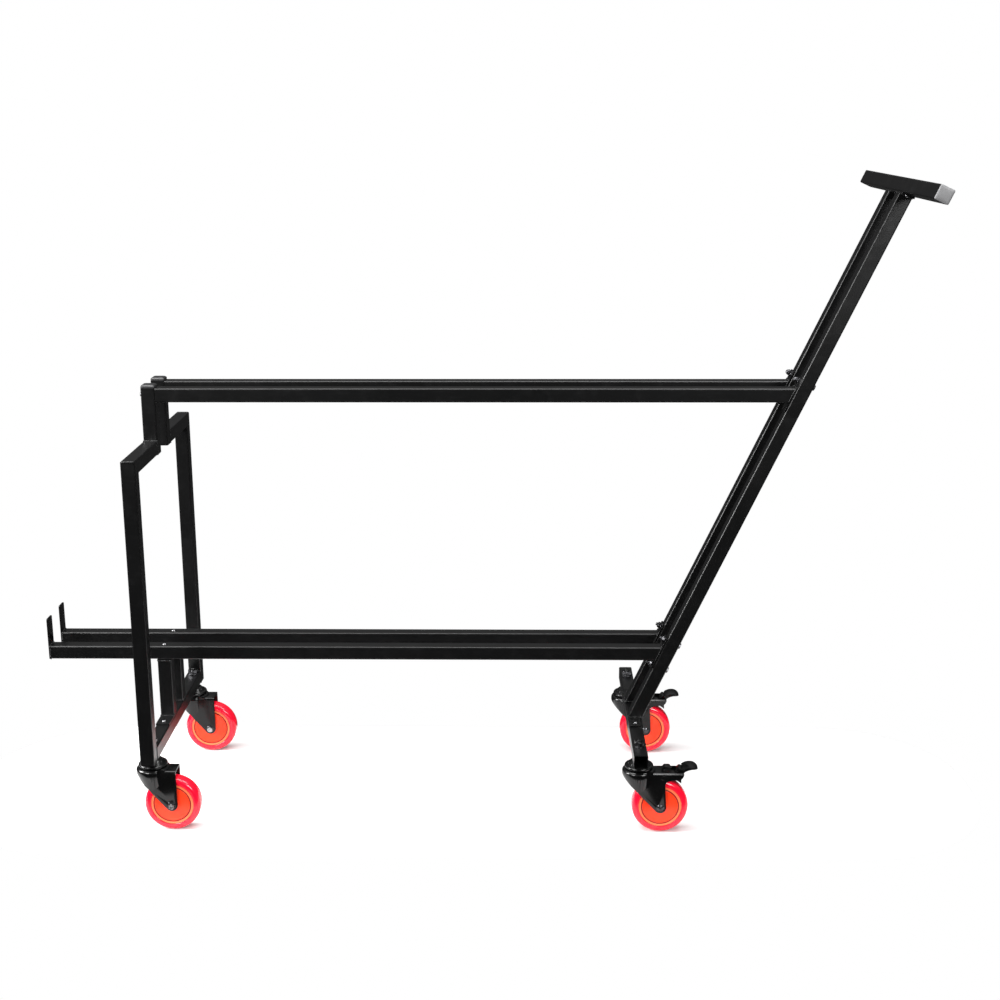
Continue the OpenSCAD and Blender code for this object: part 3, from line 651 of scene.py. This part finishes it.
def weldBeads():
    points, links = [], []
    for path in weldPaths():
        start = len(points)
        points += [tuple(p) for p in path]
        links += [(start + i, start + (i + 1) % len(path)) for i in range(len(path))]
    seed = bpy.data.meshes.new("weldPath")
    seed.from_pydata(points, links, [])
    tree = Tree("weldBeads", Pitch="Float", Width="Float", Seed="Int")
    line = tree.add("GeometryNodeMeshToCurve", {}, {"Mesh": tree.given("Geometry")})
    spaced = tree.add("GeometryNodeResampleCurve", {"mode": "LENGTH"}, {"Curve": line, "Length": tree.given("Pitch")})
    bead = tree.add("GeometryNodeMeshUVSphere", {}, {"Radius": 1.0, "Segments": 8, "Rings": 5})
    tangent = tree.add("GeometryNodeInputTangent")
    turn = tree.add("FunctionNodeAlignRotationToVector", {"axis": "X"}, {"Vector": tangent})
    spread = tree.add("FunctionNodeRandomValue", {"data_type": "FLOAT"}, {2: 0.86, 3: 1.12, "Seed": tree.given("Seed")}, 1)
    size = tree.add("ShaderNodeMath", {"operation": "MULTIPLY"}, {0: tree.given("Width"), 1: spread})
    beads = tree.add("GeometryNodeInstanceOnPoints", {}, {"Points": spaced, "Instance": bead, "Rotation": turn, "Scale": size})
    mesh = tree.grow(beads, weldCoat, seed, Pitch=weld["pitch"] * mm, Width=weld["width"] * mm, Seed=weld["seed"])
    mesh.name = "weldBeads"
    addPiece("weldBeads", finishMesh(mesh, 60), "frame")


def dressedWelds():
    # the outer corner of each mitre is ground to a smooth round
    big, half = weld["dressedRadius"], weld["dressedLength"] / 2
    end = [(big * math.sin(math.pi / 2 * step / 6), half - big + big * math.cos(math.pi / 2 * step / 6)) for step in range(7)]
    template = toMesh([turned([(r, -h) for r, h in end] + [(r, h) for r, h in end[::-1]], 24)], "dressed", [weldCoat])
    places = [(at(0, sign * 211.5, 685.0), (1, 0, 0)) for sign in (-1, 1)]
    setOut("dressedWelds", template, places, weldCoat, "frame")


weldBeads()
dressedWelds()
print("welds laid")

for name in nodes:
    paint(name, frameCoat)


studio = {"floorLength": 1.9, "floorWidth": 0.56, "floorCorner": 0.25, "paper": (0.66, 0.66, 0.66), "skyLow": 0.05, "skyHigh": 0.55}


def makeFloor():
    mesh = bpy.data.meshes.new("floor")
    corner, rim = studio["floorCorner"], []
    for quarter, (sx, sy) in enumerate(((1, 1), (-1, 1), (-1, -1), (1, -1))):
        for step in range(13):
            turn = math.pi / 2 * (quarter + step / 12)
            rim.append((sx * (studio["floorLength"] / 2 - corner) + corner * math.cos(turn),
                        sy * (studio["floorWidth"] / 2 - corner) + corner * math.sin(turn), 0))
    mesh.from_pydata(rim, [], [list(range(len(rim)))])
    floor = bpy.data.objects.new("floor", mesh)
    bpy.context.scene.collection.objects.link(floor)
    paper = Finish("floorPaper", Roughness=0.9, **{"Specular IOR Level": 0.05})
    paper.feed(Base_Color=paper.mix(paper.noise(3.0, 3.0) * 0.3, studio["paper"], (0.63, 0.63, 0.63)))
    mesh.materials.append(paper.material)


def softLight(name, place, target, size, power):
    data = bpy.data.lights.new(name, "AREA")
    data.shape, data.size, data.size_y = "RECTANGLE", size[0], size[1]
    data.energy = power
    lamp = bpy.data.objects.new(name, data)
    lamp.location = place
    lamp.rotation_mode = "QUATERNION"
    lamp.rotation_quaternion = (Vector(target) - Vector(place)).to_track_quat("-Z", "Y")
    bpy.context.scene.collection.objects.link(lamp)


def makeCamera():
    data = bpy.data.cameras.new("camera")
    data.lens, data.sensor_width = 54.334, 36.0
    data.clip_start, data.clip_end = 0.05, 60
    camera = bpy.data.objects.new("camera", data)
    right = Vector((0.99987357, 0.01567143, -0.00269225))
    up = Vector((-0.00135192, 0.25248315, 0.96760035))
    back = Vector((0.01584342, -0.96747437, 0.25247242))
    turn = Matrix((right, up, back)).transposed().to_4x4()
    camera.matrix_world = Matrix.Translation((0.103981, -2.653358, 1.258136)) @ turn
    bpy.context.scene.collection.objects.link(camera)
    bpy.context.scene.camera = camera


def makeAir():
    air = bpy.data.worlds.new("air")
    air.use_nodes = True
    tree = air.node_tree
    seen = tree.nodes["Background"]
    seen.inputs[0].default_value, seen.inputs[1].default_value = (1, 1, 1, 1), 1.0
    glow = tree.nodes.new("ShaderNodeBackground")
    glow.inputs[0].default_value = (1, 1, 1, 1)
    aim = tree.nodes.new("ShaderNodeTexCoord")
    parts = tree.nodes.new("ShaderNodeSeparateXYZ")
    rise = tree.nodes.new("ShaderNodeMapRange")
    rise.interpolation_type = "SMOOTHSTEP"
    for index, value in ((1, 0.15), (2, 0.9), (3, studio["skyLow"]), (4, studio["skyHigh"])):
        rise.inputs[index].default_value = value
    tree.links.new(aim.outputs["Generated"], parts.inputs[0])
    tree.links.new(parts.outputs[2], rise.inputs[0])
    tree.links.new(rise.outputs[0], glow.inputs[1])
    choice = tree.nodes.new("ShaderNodeMixShader")
    path = tree.nodes.new("ShaderNodeLightPath")
    tree.links.new(path.outputs["Is Camera Ray"], choice.inputs[0])
    tree.links.new(glow.outputs[0], choice.inputs[1])
    tree.links.new(seen.outputs[0], choice.inputs[2])
    tree.links.new(choice.outputs[0], tree.nodes["World Output"].inputs[0])
    bpy.context.scene.world = air


makeFloor()
makeCamera()
makeAir()
bpy.context.scene.view_settings.view_transform = "Standard"
softLight("overhead", (0.0, -0.25, 2.7), (0, 0, 0), (3.4, 1.1), 115)
softLight("frontLeft", (-2.3, -2.9, 2.0), (0, 0, 0.3), (1.5, 1.2), 120)
softLight("frontRight", (1.9, -3.0, 1.9), (0.1, 0, 0.3), (1.3, 1.1), 90)
softLight("left", (-2.5, -0.3, 1.35), (0.4, -0.1, 0.6), (0.9, 1.1), 130)
print("studio ready")
